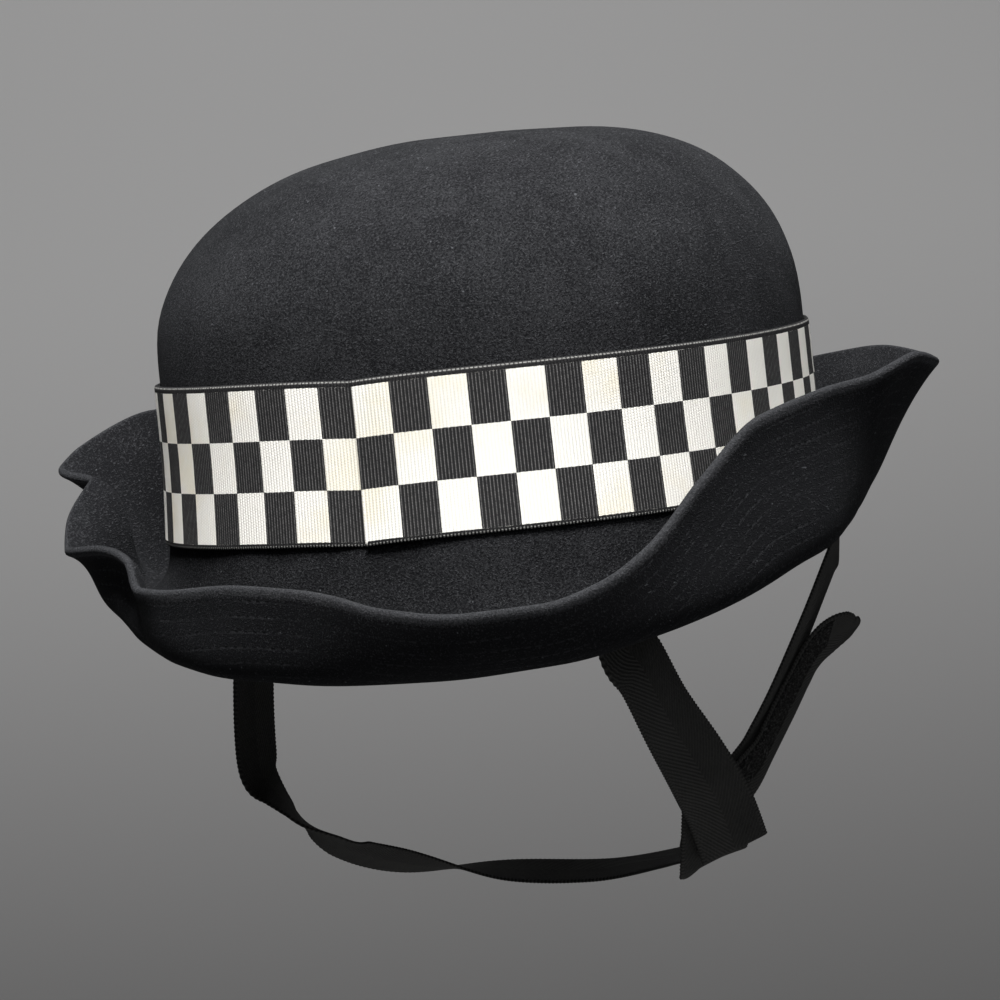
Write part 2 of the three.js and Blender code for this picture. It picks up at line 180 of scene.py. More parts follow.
class Socket:
    # A node's output, with the operators that the materials use
    def __init__(self, tree, out):
        self.tree = tree
        self.out = out

    def maths(self, operation, *values, clamp=False):
        settings = {"operation": operation, "use_clamp": clamp}
        return node(self.tree, "ShaderNodeMath", settings, dict(enumerate(values)))

    def __add__(self, other):
        return self.maths("ADD", self, other)

    def __radd__(self, other):
        return self.maths("ADD", other, self)

    def __sub__(self, other):
        return self.maths("SUBTRACT", self, other)

    def __rsub__(self, other):
        return self.maths("SUBTRACT", other, self)

    def __mul__(self, other):
        return self.maths("MULTIPLY", self, other)

    def __rmul__(self, other):
        return self.maths("MULTIPLY", other, self)

    def __truediv__(self, other):
        return self.maths("DIVIDE", self, other)

    def __rtruediv__(self, other):
        return self.maths("DIVIDE", other, self)

    def __gt__(self, other):
        return self.maths("GREATER_THAN", self, other)

    def __lt__(self, other):
        return self.maths("LESS_THAN", self, other)

    def larger(self, other):
        return self.maths("MAXIMUM", self, other)

    def size(self):
        return self.maths("ABSOLUTE", self)

    def floor(self):
        return self.maths("FLOOR", self)

    def fraction(self):
        return self.maths("FRACT", self)

    def clip(self):
        return self.maths("ADD", self, 0, clamp=True)

    def step(self, low, high):
        # 0 below low, 1 above high and smooth between them
        values = {"Value": self, "From Min": low, "From Max": high}
        return node(self.tree, "ShaderNodeMapRange", {"interpolation_type": "SMOOTHSTEP"}, values)

    def between(self, rise, fall):
        return self.step(*rise) * (1 - self.step(*fall))

    def ridge(self):
        # 0 at each whole number and 1 half way between two
        return 1 - (self.fraction() - 0.5).size() * 2


def node(tree, kind, settings=None, values=None, out=0):
    made = tree.nodes.new(kind)
    for key, value in (settings or {}).items():
        setattr(made, key, value)
    for key, value in (values or {}).items():
        if isinstance(value, Socket):
            tree.links.new(value.out, made.inputs[key])
        else:
            made.inputs[key].default_value = value
    return Socket(tree, made.outputs[out])


def newMaterial(name):
    made = bpy.data.materials.new(name)
    made.use_nodes = True
    tree = made.node_tree
    return made, tree, tree.nodes["Principled BSDF"]


def setConstants(shader, **values):
    for key, value in values.items():
        shader.inputs[key.replace("_", " ")].default_value = value


def feed(tree, shader, name, socket):
    tree.links.new(socket.out, shader.inputs[name])


def objectPlace(tree):
    return node(tree, "ShaderNodeTexCoord", out="Object")


def surfacePlace(tree):
    # Along and across a piece, in the units of its own UV map
    uv = node(tree, "ShaderNodeUVMap", {"uv_map": "surface"})
    return [node(tree, "ShaderNodeSeparateXYZ", None, {0: uv}, out=axis) for axis in ("X", "Y")]


def noiseAt(tree, place, scale, detail=2, roughness=0.5):
    values = {"Vector": place, "Scale": scale, "Detail": detail, "Roughness": roughness}
    return node(tree, "ShaderNodeTexNoise", None, values)


def stretched(tree, place, way, scale):
    # Object coordinates turned by angles in degrees and scaled apart, for streaks that lie one way
    turned = tuple(math.radians(angle) for angle in way)
    return node(tree, "ShaderNodeMapping", None, {"Vector": place, "Rotation": turned, "Scale": scale})


def mixColour(tree, factor, first, second):
    # Sockets 6 and 7 of a Mix node are its two colours, and its output 2 is the mixed one
    values = {0: factor}
    for key, colour in ((6, first), (7, second)):
        values[key] = colour if isinstance(colour, Socket) else (*colour, 1)
    return node(tree, "ShaderNodeMix", {"data_type": "RGBA"}, values, out=2)


def bump(tree, height, distance, strength):
    values = {"Height": height, "Distance": distance, "Strength": strength}
    return node(tree, "ShaderNodeBump", None, values)


def floorMaterial():
    made, tree, shader = newMaterial("paleFloor")
    place = objectPlace(tree)
    height = node(tree, "ShaderNodeSeparateXYZ", None, {0: place}, out="Z")
    # The lower part of the wall, where the floor bends up into it, is painted darker: painted shade
    raised = height > studio["floorLevel"] + studio["shadeStart"]
    shade = (1 - height.step(*studio["shadeSteps"])) * raised * studio["shade"]
    shade = shade + noiseAt(tree, place, studio["mottleScale"]) * studio["mottle"]
    base = studio["floorColour"]
    dark = tuple(part * studio["shadeColour"] for part in base)
    feed(tree, shader, "Base Color", mixColour(tree, shade, base, dark))
    setConstants(shader, Roughness=studio["floorRoughness"])
    return made


# Shape of the crown, in plan and up its side

crown = {
    "halfLength": 103.6,
    "halfWidth": 88.2,
    "squareness": 2.2,
    "taper": 0.0009,
    "swell": 0.026,
    "swellHeight": 88.5,
    "swellReach": 25,
    "thickness": 2.6,
}
dome = {"base": 91.5, "height": 49.5, "fullness": 2.97, "riseFullness": 2.2, "lean": (-5, -2)}
band = {
    "width": 44,
    "thickness": 0.9,
    "gap": 0.3,
    "middle": 58,
    "rightDip": 2.2,
    "leftDip": 0.8,
    "seamDip": 1.8,
    "seamDipReach": 11,
    "seamTurn": 0.66,
    "underTurn": 5,
    "underLength": 8,
    "fineSteps": 4000,
    "lift": 0.3,
    "liftTurns": (6, 20),
    "pressTurns": (355, 359.5),
    "pressedFront": 0.46,
    "pressedBack": 0.1,
    "cutWidth": 44.8,
    "linesAcross": (0, 0.5, 1.2, 6, 15, 24, 33, 39),
    "edgeLines": (1.2, 0.5, 0),
    "edgeReach": 0.5,
    "edgeRounding": 0.30,
    "wave": 0.12,
    "waveTurns": (7.3, 3.1),
    "rib": 0.11,
    "ribsInCheck": 11,
    "samplesInRib": 4,
    "checks": 60,
    "rightCheck": 10.6,
    "leftCheck": 10.2,
    "seenLength": 190,
    "spareLength": 100,
    "rowHeight": 13.87,
    "rows": 3,
    "lowSelvage": 1.45,
}


def ovalPoint(turn):
    angle = np.radians(turn)
    along = np.abs(np.cos(angle) / crown["halfLength"]) ** crown["squareness"]
    across = np.abs(np.sin(angle) / crown["halfWidth"]) ** crown["squareness"]
    radius = (along + across) ** (-1 / crown["squareness"])
    return np.stack([-radius * np.sin(angle), radius * np.cos(angle)], -1)


def straightOut(turn):
    angle = np.radians(turn)
    sides = []
    for part, half in ((-np.sin(angle), crown["halfWidth"]), (np.cos(angle), crown["halfLength"])):
        sides.append(np.sign(part) * np.abs(part / half) ** (crown["squareness"] - 1) / half)
    out = np.stack(sides, -1)
    return out / np.linalg.norm(out, axis=-1, keepdims=True)


def onWall(turn, height, offset):
    turn, height, offset = np.broadcast_arrays(*(np.asarray(v, float) for v in (turn, height, offset)))
    swell = crown["swell"] * np.exp(-(((height - crown["swellHeight"]) / crown["swellReach"]) ** 2))
    girth = 1 - crown["taper"] * (height - band["middle"]) + swell
    plan = ovalPoint(turn) * girth[..., None] + straightOut(turn) * offset[..., None]
    return np.concatenate([plan, height[..., None]], -1)


def bandHeight(turn, share):
    # Share is -1 at the band's lower edge and 1 at its upper one
    side = np.sin(np.radians(turn))
    sideDip = np.where(side > 0, band["rightDip"] * side, -band["leftDip"] * side)
    fromSeam = np.abs(turn - 360 * np.round(turn / 360))
    seamDip = band["seamDip"] * np.exp(-fromSeam / band["seamDipReach"])
    return band["middle"] + share * band["width"] / 2 - sideDip - seamDip


# Brim: rows round the hat of turn, dip of the roll and how far out the roll's lowest line is
rootRows = [
    (-180, 1.8, 14.2), (-150, 9.5, 13), (-120, 19, 10.5), (-90, 21.1, 9), (-60, 18.6, 11.3),
    (-34, 8.8, 10), (-13, 2.7, 14), (6, -0.3, 13.8), (26, 0.9, 13.2), (46, 7.3, 11),
    (70, 16.6, 10.3), (90, 20.7, 7.1), (115, 26.5, 5.4), (150, 11.3, 11.4),
]
# Rows of turn, how far out and up the edge is, its slope, and how far the brim runs out level
# before it turns up, as a share of its reach
edgeRows = [
    (-160, 29.9, 50, 42, 0.3), (-145, 25.4, 62.5, 55, 0.3), (-125, 27, 67.5, 58, 0.3),
    (-104, 31.4, 68, 50, 0.3), (-89, 41, 60.6, 36, 0.3), (-84, 42.9, 56.2, 26, 0.31),
    (-75, 27.7, 52.1, 22, 0.34), (-66, 30, 43.8, 15, 0.4), (-58, 28.8, 36, 23, 0.46),
    (-49, 20.6, 36.5, 17, 0.34), (-44, 17.5, 35.7, 28, 0.26), (-39, 17, 33.8, 46, 0.25),
    (-33, 18.7, 26.3, 66, 0.3), (-27, 19.2, 25.8, 77, 0.4), (-15, 21.6, 26.9, 81, 0.33),
    (-5, 24.8, 25.3, 81, 0.29), (1, 28.1, 23.0, 76, 0.29), (7, 31.3, 18.9, 71, 0.3),
    (15, 33.8, 16.2, 61, 0.31), (23, 30.9, 16.2, 62, 0.31), (30, 27.1, 19.9, 68, 0.29),
    (36, 23.3, 26.2, 74, 0.28), (47, 18.8, 43, 80, 0.29), (60, 16.6, 56.2, 80, 0.26),
    (79, 17.5, 60.3, 76, 0.29), (92, 22.4, 61.5, 66, 0.22), (103, 32, 65.6, 41, 0.18),
    (119, 36, 62.4, 44, 0.18), (134, 28, 65.6, 54, 0.19), (151, 24.4, 63, 57, 0.26),
    (180, 38.8, 24.9, 31, 0.28),
]
brim = {"rootRise": 20, "rootClearance": 2, "tightness": 0.55, "endPull": 0.45}


def aroundHat(rows, column):
    # A smooth curve round the hat through one column of a table, which never overshoots its rows
    turns = np.array([row[0] for row in rows], float)
    values = np.array([row[column] for row in rows], float)
    turns = np.concatenate([turns[-2:] - 360, turns, turns[:3] + 360])
    values = np.concatenate([values[-2:], values, values[:3]])
    slopes = np.diff(values) / np.diff(turns)
    before, after = slopes[:-1], slopes[1:]
    both = before + after
    tangents = np.zeros(len(turns))
    tangents[1:-1] = np.where(before * after <= 0, 0, 2 * before * after / np.where(both == 0, 1, both))

    def at(turn):
        inside = turns[2] + np.mod(np.asarray(turn, float) - turns[2], 360)
        i = np.clip(np.searchsorted(turns, inside, side="right") - 1, 2, len(turns) - 3)
        span = turns[i + 1] - turns[i]
        t = (inside - turns[i]) / span
        ease = t * t * (3 - 2 * t)
        leave = t * (1 - t) ** 2 * span * tangents[i]
        arrive = t * t * (1 - t) * span * tangents[i + 1]
        return values[i] * (1 - ease) + values[i + 1] * ease + leave - arrive

    return at


dip, rollOut = (aroundHat(rootRows, column) for column in (1, 2))
edgeOut, edgeUp, edgeSlope, startPull = (aroundHat(edgeRows, column) for column in (1, 2, 3, 4))


def bezier(a, b, c, d, t):
    return a * (1 - t) ** 3 + 3 * b * t * (1 - t) ** 2 + 3 * c * t * t * (1 - t) + d * t ** 3


def wallFoot(turn):
    return np.minimum(dip(turn) + brim["rootRise"], bandHeight(turn, -1) - brim["rootClearance"])


def feltMiddle(turn, stage):
    # The middle of the felt: stage 0 is the top, 1 the dome's foot, 2 the wall's foot, 3 the roll
    # and 4 the edge
    turn, stage = np.broadcast_arrays(np.asarray(turn, float), np.asarray(stage, float))
    half = crown["thickness"] / 2
    angle = (1 - np.clip(stage, 0, 1)) * math.pi / 2
    across = np.clip(np.cos(angle), 0, 1) ** (2 / dome["fullness"])
    rise = np.clip(np.sin(angle), 0, 1) ** (2 / dome["riseFullness"])
    top = onWall(turn, dome["base"] + (dome["height"] - half) * rise, -half)
    top[..., :2] = top[..., :2] * across[..., None] + np.array(dome["lean"]) * (rise ** 2)[..., None]
    foot, low, roll = wallFoot(turn), dip(turn), rollOut(turn)
    wall = onWall(turn, dome["base"] + (foot - dome["base"]) * (stage - 1), -half)
    t = stage - 2
    tight = brim["tightness"]
    rootHeight = bezier(foot, low + tight * roll, low, low, t)
    root = onWall(turn, rootHeight, bezier(-half, -half, (1 - tight) * roll, roll, t))
    t = stage - 3
    out, up, slope = edgeOut(turn), edgeUp(turn), np.radians(edgeSlope(turn))
    reach = np.hypot(out - roll, up - low)
    pull = brim["endPull"] * reach
    edgeHeight = bezier(low, low, up - pull * np.sin(slope), up, t)
    edgeReach = bezier(roll, roll + startPull(turn) * reach, out - pull * np.cos(slope), out, t)
    edge = onWall(turn, edgeHeight, edgeReach)
    pick = np.clip(np.floor(stage), 0, 3).astype(int)
    return np.choose(pick[..., None], [top, wall, root, edge])


def feltFrame(turn, stage):
    # The way down the felt and the way out of it
    nudge = 0.01
    down = feltMiddle(turn, stage + nudge) - feltMiddle(turn, np.maximum(stage - nudge, 0))
    down /= np.linalg.norm(down, axis=-1, keepdims=True)
    normal = np.cross(down, feltMiddle(turn + nudge, stage) - feltMiddle(turn - nudge, stage))
    return down, normal / np.linalg.norm(normal, axis=-1, keepdims=True)


def closedMesh(name, points, faces, corners):
    mesh = bpy.data.meshes.new(name)
    mesh.from_pydata((points * metre).tolist(), [], faces)
    layer = mesh.uv_layers.new(name="surface")
    flat = [uv for face in corners for uv in face]
    layer.data.foreach_set("uv", np.array(flat, np.float32).ravel())
    mesh.update()
    made = bpy.data.objects.new(name, mesh)
    bpy.context.scene.collection.objects.link(made)
    for polygon in mesh.polygons:
        polygon.use_smooth = True
    return made


# Steps round the hat in stretches of (from, to, count), and steps in each stage down the felt
felt = {
    "stretches": [(-180, -96, 56), (-96, -24, 120), (-24, 180, 150)],
    "outerSteps": (36, 24, 14, 32),
    "innerSteps": (14, 10, 12, 32),
    "edgeSteps": 6,
    "topSpacing": 1.25,
    "dentDepth": 0.28,
    "longWaves": (13, 15, 12),
    "longStarts": (1.7, 0.6, 2.1),
    "shortWaves": (6.5, 9, 7.5, 8),
    "shortStart": 1.1,
    "shortShare": 0.6,
}


def dents(points):
    # Slow waves of the soft felt, along its normal
    x, y, z = (points[..., i] for i in range(3))
    long = np.prod(np.sin(points / felt["longWaves"] + felt["longStarts"]), -1)
    first, second, third, fourth = felt["shortWaves"]
    short = np.sin(x / first + z / second) * np.sin(y / third - z / fourth + felt["shortStart"])
    return long + felt["shortShare"] * short


def stagesOf(counts):
    # Rings nearer each other at the very top, where the dome's own steps are wide
    parts = [np.linspace(0, 1, counts[0] + 1)[1:] ** felt["topSpacing"]]
    for i, count in enumerate(counts[1:]):
        parts.append(1 + i + np.linspace(0, 1, count + 1)[1:])
    return np.concatenate(parts)


def makeFelt():
    turns = np.concatenate([np.linspace(a, b, n + 1)[1:] for a, b, n in felt["stretches"]])
    half = crown["thickness"] / 2

    def side(counts, sign):
        grid = np.meshgrid(turns, stagesOf(counts), indexing="ij")
        middle, (down, normal) = feltMiddle(*grid), feltFrame(*grid)
        dent = (felt["dentDepth"] * dents(middle))[..., None]
        return middle + normal * (dent + sign * half), down, normal, middle + normal * dent

    outer, down, normal, middle = side(felt["outerSteps"], 1)
    inner = side(felt["innerSteps"], -1)[0]
    tips = []
    for angle in np.linspace(0, math.pi, felt["edgeSteps"] + 1)[1:-1]:
        tip = math.cos(angle) * normal[:, -1] + math.sin(angle) * down[:, -1]
        tips.append(middle[:, -1] + half * tip)
    rings = np.concatenate([outer, np.stack(tips, 1), inner[:, ::-1]], 1)
    columns, count = rings.shape[:2]
    rim = outer.shape[1] + len(tips) // 2

    # Millimetres from the edge, over the felt: above 0 on the side that the crown's outside runs on to
    steps = np.linalg.norm(np.diff(rings, axis=1), axis=-1)
    run = np.concatenate([np.zeros((columns, 1)), np.cumsum(steps, 1)], 1)
    fromEdge = run[:, rim:rim + 1] - run
    ends = np.linalg.norm(np.roll(rings[:, rim], -1, 0) - rings[:, rim], axis=-1)
    along = np.concatenate([[0], np.cumsum(ends)])

    topPoint = np.array([*dome["lean"], dome["base"] + dome["height"]])
    points = np.concatenate([rings.reshape(-1, 3), [topPoint, topPoint - [0, 0, crown["thickness"]]]])
    faces, corners = [], []
    for j in range(columns):
        k = (j + 1) % columns
        a, b = j * count, k * count
        for i in range(count - 1):
            faces.append((a + i, a + i + 1, b + i + 1, b + i))
            corners.append(((along[j], fromEdge[j, i]), (along[j], fromEdge[j, i + 1]),
                            (along[j + 1], fromEdge[k, i + 1]), (along[j + 1], fromEdge[k, i])))
        faces.append((columns * count, a, b))
        corners.append(((along[j], fromEdge[j, 0]),) * 3)
        faces.append((a + count - 1, columns * count + 1, b + count - 1))
        corners.append(((along[j], fromEdge[j, -1]),) * 3)
    made = closedMesh("felt_body", points, faces, corners)
    distance = np.concatenate([fromEdge.ravel(), [fromEdge[0, 0], fromEdge[0, -1]]])
    layer = made.data.attributes.new("fromEdge", "FLOAT", "POINT")
    layer.data.foreach_set("value", distance.astype(np.float32))
    return made


# Noises are (scale, detail, roughness), and tones how much each thing lightens or darkens the felt
feltLook = {
    "dark": (0.0055, 0.0058, 0.0068),
    "light": (0.046, 0.0475, 0.052),
    "lint": (0.10, 0.105, 0.115),
    "grain": (1500, 3, 0.7),
    "streak": (1900, 1, 0.5),
    "streakWays": ((0, 0, 25), (70, 20, 0), (15, 80, 50)),
    "streakStretch": (1, 0.22, 1),
    "fibreSteps": (0.60, 0.74),
    "cloud": (24, 4, 0.55),
    "brushed": (85, 3, 0.6),
    "lintNoise": (900, 1, 0.4),
    "lintWay": (30, 10, 40),
    "lintStretch": (1, 0.3, 1),
    "lintSteps": (0.76, 0.82),
    "lintShare": 0.6,
    "rimMiddle": 1,
    "rimSteps": (1.4, 3.6),
    "underWidth": 62,
    "gutterShadeSteps": (30, 62),
    "baseTone": 0.15,
    "grainTone": 1.8,
    "fibreTone": 0.5,
    "cloudTone": 0.45,
    "brushedTone": 0.35,
    "rimHighlightTone": 0.32,
    "underShadeTone": 0.35,
    "gutterShadeTone": 0.14,
    "fibreHeight": 0.5,
    "brushedHeight": 0.8,
    "bumpDistance": 0.00045,
    "bumpStrength": 0.9,
}
# Rows of stitching round the underside of the brim, in millimetres from the edge
stitching = {
    "first": 4.6,
    "step": 4.2,
    "length": 3.2,
    "rowShift": 0.37,
    "rowSteps": (0.18, 0.42),
    "threadRise": (0.10, 0.2),
    "threadFall": (0.72, 0.82),
    "worn": 0.25,
    "wear": (55, 2, 0.6),
    "wearSteps": (0.48, 0.62),
    "threadShare": 0.2,
    "threadLight": 1.5,
    "depth": 0.5,
    "threadHeight": 0.4,
}


def feltMaterial():
    made, tree, shader = newMaterial("brushedFelt")
    look, sewn = feltLook, stitching
    place = objectPlace(tree)
    distance = node(tree, "ShaderNodeAttribute", {"attribute_name": "fromEdge"}, out="Fac")
    along = surfacePlace(tree)[0]

    # Fibres: fine grain, and streaks that lie three ways
    grain = noiseAt(tree, place, *look["grain"])
    streaks = []
    for way in look["streakWays"]:
        streaks.append(noiseAt(tree, stretched(tree, place, way, look["streakStretch"]), *look["streak"]))
    fibre = streaks[0].larger(streaks[1]).larger(streaks[2]).step(*look["fibreSteps"])
    cloud = noiseAt(tree, place, *look["cloud"])
    brushed = noiseAt(tree, place, *look["brushed"])
    lint = noiseAt(tree, stretched(tree, place, look["lintWay"], look["lintStretch"]), *look["lintNoise"])

    # The rolled rim is painted lighter than the rest, a painted highlight along the edge
    rim = 1 - (distance + look["rimMiddle"]).size().step(*look["rimSteps"])
    under = (distance < 0) * (distance > -look["underWidth"])
    # The brim's upper face near the edge, which is given painted shade
    gutterShade = (distance > 0) * (1 - distance.step(*look["gutterShadeSteps"]))
    tone = (grain - 0.5) * look["grainTone"] + fibre * look["fibreTone"] + look["baseTone"]
    tone = tone + (cloud - 0.5) * look["cloudTone"] + (brushed - 0.5) * look["brushedTone"]
    tone = tone + rim * look["rimHighlightTone"]
    # The underside of the brim and its upper face near the edge are painted darker: painted shade
    tone = tone - (1 - rim) * (under * look["underShadeTone"] + gutterShade * look["gutterShadeTone"])
    colour = mixColour(tree, tone.clip(), look["dark"], look["light"])
    colour = mixColour(tree, lint.step(*look["lintSteps"]) * look["lintShare"], colour, look["lint"])

    # Stitches, which have sunk into the felt in places
    row = (sewn["step"] / 2 - sewn["first"] - distance) / sewn["step"]
    inRow = 1 - ((row.fraction() - 0.5).size() * sewn["step"]).step(*sewn["rowSteps"])
    stitch = (along / sewn["length"] + row.floor() * sewn["rowShift"]).fraction()
    thread = stitch.between(sewn["threadRise"], sewn["threadFall"])
    shown = sewn["worn"] + noiseAt(tree, place, *sewn["wear"]).step(*sewn["wearSteps"]) * (1 - sewn["worn"])
    seam = under * inRow * (row > 0) * shown
    threadColour = tuple(part * sewn["threadLight"] for part in look["light"])
    colour = mixColour(tree, seam * thread * sewn["threadShare"], colour, threadColour)
    feed(tree, shader, "Base Color", colour)

    height = grain + fibre * look["fibreHeight"] + brushed * look["brushedHeight"]
    height = height - seam * (sewn["depth"] - thread * sewn["threadHeight"])
    feed(tree, shader, "Normal", bump(tree, height, look["bumpDistance"], look["bumpStrength"]))
    setConstants(shader, Roughness=0.95, Sheen_Weight=0.01, Sheen_Roughness=0.5,
                 Sheen_Tint=(0.8, 0.87, 1, 1), Specular_IOR_Level=0.08)
    return made


# Ribbons


def ribbonMesh(name, front, back, alongs, acrosses):
    # A front and a back of stations by lines across. alongs and acrosses are their places in the pattern.
    stations, lines = front.shape[:2]
    size = stations * lines
    points = np.concatenate([front.reshape(-1, 3), back.reshape(-1, 3)])
    faces, corners = [], []

    def addFace(*spots):
        # Each spot is a side, 0 for the front and 1 for the back, a station and a line
        faces.append([side * size + i * lines + j for side, i, j in spots])
        corners.append([(alongs[i], acrosses[j]) for side, i, j in spots])

    for i in range(stations - 1):
        k = i + 1
        for j in range(lines - 1):
            addFace((0, i, j), (0, k, j), (0, k, j + 1), (0, i, j + 1))
            addFace((1, i, j), (1, i, j + 1), (1, k, j + 1), (1, k, j))
        for j, near, far in ((0, i, k), (lines - 1, k, i)):
            addFace((0, near, j), (1, near, j), (1, far, j), (0, far, j))
    last = stations - 1
    for j in range(lines - 1):
        addFace((0, 0, j + 1), (1, 0, j + 1), (1, 0, j), (0, 0, j))
    for j in range(lines - 1):
        addFace((0, last, j), (1, last, j), (1, last, j + 1), (0, last, j + 1))
    return closedMesh(name, points, faces, corners)


def smoothStep(value, low, high):
    t = np.clip((value - low) / (high - low), 0, 1)
    return t * t * (3 - 2 * t)


def lengthSoFar(points):
    return np.concatenate([[0], np.cumsum(np.linalg.norm(np.diff(points, axis=0), axis=1))])


def checksAlong(run, total):
    # Place along the pattern in checks from the seam, true to size in the half that shows at the back
    seen, spare = band["seenLength"], band["spareLength"]
    lengths = [0, seen, total - seen, total, total + spare]
    places = [0, seen / band["rightCheck"], band["checks"] - seen / band["leftCheck"], band["checks"],
              band["checks"] + spare / band["rightCheck"]]
    return np.interp(run, lengths, places)


def makeBand():
    # From the end that lies on top at the back, round by the wearer's right to the end under it
    fine = np.linspace(band["seamTurn"], 360 + band["underTurn"], band["fineSteps"])
    run = lengthSoFar(onWall(fine, bandHeight(fine, 0), band["gap"] + band["thickness"]))
    total = np.interp(360 + band["seamTurn"], fine, run)
    places = checksAlong(run, total)
    samples = np.arange(0, places[-1], 1 / (band["samplesInRib"] * band["ribsInCheck"]))
    turns = np.interp(samples, places, fine)
    width = band["cutWidth"]
    acrosses = np.array([*band["linesAcross"], *(width - line for line in band["edgeLines"])])
    heights = bandHeight(turns, -1)[:, None] + acrosses[None, :]

    # The top end stands off a little, and the end under it is pressed flat
    lift = (1 - smoothStep(turns, *band["liftTurns"])) * band["lift"]
    pressed = smoothStep(turns, *band["pressTurns"])
    rib = band["rib"] * (0.5 - 0.5 * np.cos(2 * math.pi * samples * band["ribsInCheck"]))
    long, short = band["waveTurns"]
    wave = band["wave"] * np.sin(turns / long) * np.sin(turns / short + 1)
    outer = band["gap"] + band["thickness"] + lift + wave
    outer = outer * (1 - pressed) + band["pressedFront"] * pressed + rib
    inner = (band["gap"] + lift) * (1 - pressed) + band["pressedBack"] * pressed
    fromSide = np.minimum(acrosses, width - acrosses)
    rounding = band["edgeRounding"] * (1 - np.clip(fromSide / band["edgeReach"], 0, 1)) ** 2
    front = onWall(turns[:, None], heights, outer[:, None] - rounding[None, :])
    back = onWall(turns[:, None], heights, inner[:, None])
    return ribbonMesh("checked_band", front, back, samples, acrosses), total


bandLook = {
    "white": (0.86, 0.85, 0.81),
    "stain": (0.78, 0.68, 0.42),
    "whiteGrooveShade": (0.30, 0.29, 0.26),
    "whiteWeft": (0.35, 0.34, 0.31),
    "black": (0.004, 0.004, 0.005),
    "blackRibSheen": (0.15, 0.15, 0.151),
    "thread": (0.30, 0.30, 0.29),
    "fuzz": (900, 2, 0.6),
    "fuzzAcross": 0.18,
    "fuzzAlong": 0.015,
    "weftPitch": 0.42,
    "soil": (30, 4, 0.6),
    "soilSteps": (0.48, 0.68),
    "soilShare": 0.34,
    "speck": (160, 3, 0.7),
    "speckSteps": (0.62, 0.75),
    "speckShare": 0.08,
    "grooveShadeSteps": (0.0, 0.5),
    "grooveShadeShare": 0.15,
    "weftShare": 0.12,
    "ribSteps": (0.5, 1.0),
    "ribBase": 0.3,
    "ribWeft": 0.6,
    "ribFuzz": 1.6,
    "weftHeight": 0.35,
    "ribHeight": 0.5,
    "fuzzHeight": 0.3,
    "bumpDistance": 0.00018,
    "bumpStrength": 0.9,
}
# A light thread along the top edge, ticks of it between the ribs of the bottom edge, and the cut
# end's loose threads, in millimetres across and checks along
selvage = {
    "topWidth": 0.5,
    "topRise": (-0.25, 0),
    "topFall": (0.1, 0.35),
    "topBase": 0.12,
    "topTwist": 0.6,
    "twistPitch": 0.8,
    "twistFuzz": 0.5,
    "twistSteps": (0.25, 0.5),
    "tickRise": (0.05, 0.2),
    "tickFall": (0.75, 0.95),
    "tickSteps": (0.4, 0.7),
    "tickShare": 0.8,
    "endLength": 0.07,
    "endFrom": 0.9,
    "endPitch": 0.6,
    "endSteps": (0.2, 0.4),
    "endShare": 0.8,
}


def bandMaterial():
    made, tree, shader = newMaterial("checkedGrosgrain")
    look, edge = bandLook, selvage
    place = objectPlace(tree)
    along, across = surfacePlace(tree)
    fuzz = noiseAt(tree, place, *look["fuzz"]) - 0.5
    low = band["lowSelvage"]
    high = low + band["rows"] * band["rowHeight"]
    row = ((across - low + fuzz * look["fuzzAcross"]) / band["rowHeight"]).floor()
    column = (along + fuzz * look["fuzzAlong"]).floor()
    black = ((row + column) / 2).fraction() > 0.25
    body = (across > low) * (across < high)

    # Ribs across the ribbon, and the weft that wraps them
    ribs = along * band["ribsInCheck"]
    crest = ribs.ridge()
    weft = (across / look["weftPitch"] + ribs.floor() * 0.5).ridge()
    soil = noiseAt(tree, place, *look["soil"]).step(*look["soilSteps"])
    speck = noiseAt(tree, place, *look["speck"]).step(*look["speckSteps"])
    dirt = (soil * look["soilShare"] + speck * look["speckShare"]).clip()
    # The grooves between the ribs of the white checks are painted darker: painted shade
    grooveShade = 1 - crest.step(*look["grooveShadeSteps"])
    whiteTone = mixColour(tree, dirt, look["white"], look["stain"])
    whiteTone = mixColour(tree, grooveShade * look["grooveShadeShare"], whiteTone, look["whiteGrooveShade"])
    whiteTone = mixColour(tree, (1 - weft) * look["weftShare"], whiteTone, look["whiteWeft"])
    # The crests of the ribs on the black checks are painted lighter: a painted sheen
    shine = look["ribBase"] + weft * look["ribWeft"] + fuzz * look["ribFuzz"]
    shine = (crest.step(*look["ribSteps"]) * shine).clip()
    blackTone = mixColour(tree, shine, look["black"], look["blackRibSheen"])
    colour = mixColour(tree, black, whiteTone, blackTone)
    colour = mixColour(tree, body, look["black"], colour)

    top = across - (band["cutWidth"] - edge["topWidth"])
    twist = (ribs * edge["twistPitch"] + fuzz * edge["twistFuzz"]).fraction().step(*edge["twistSteps"])
    topThread = top.between(edge["topRise"], edge["topFall"]) * (edge["topBase"] + twist * edge["topTwist"])
    lowTick = across.between(edge["tickRise"], edge["tickFall"]) * crest.step(*edge["tickSteps"])
    endPlace = (along < edge["endLength"]) * (across > edge["endFrom"]) * (across < low + band["rowHeight"])
    endThread = endPlace * (across * edge["endPitch"] + fuzz).fraction().step(*edge["endSteps"])
    colour = mixColour(tree, topThread, colour, look["thread"])
    colour = mixColour(tree, lowTick * edge["tickShare"], colour, look["thread"])
    colour = mixColour(tree, endThread * edge["endShare"], colour, look["white"])
    feed(tree, shader, "Base Color", colour)
    height = weft * look["weftHeight"] + crest * look["ribHeight"] + fuzz * look["fuzzHeight"]
    feed(tree, shader, "Normal", bump(tree, height, look["bumpDistance"], look["bumpStrength"]))
    setConstants(shader, Roughness=0.72, Sheen_Weight=0.02, Specular_IOR_Level=0.3)
    return made


# Tapes: lines are shares of half the width, and thinning what each face loses there, as a share
# of the thickness

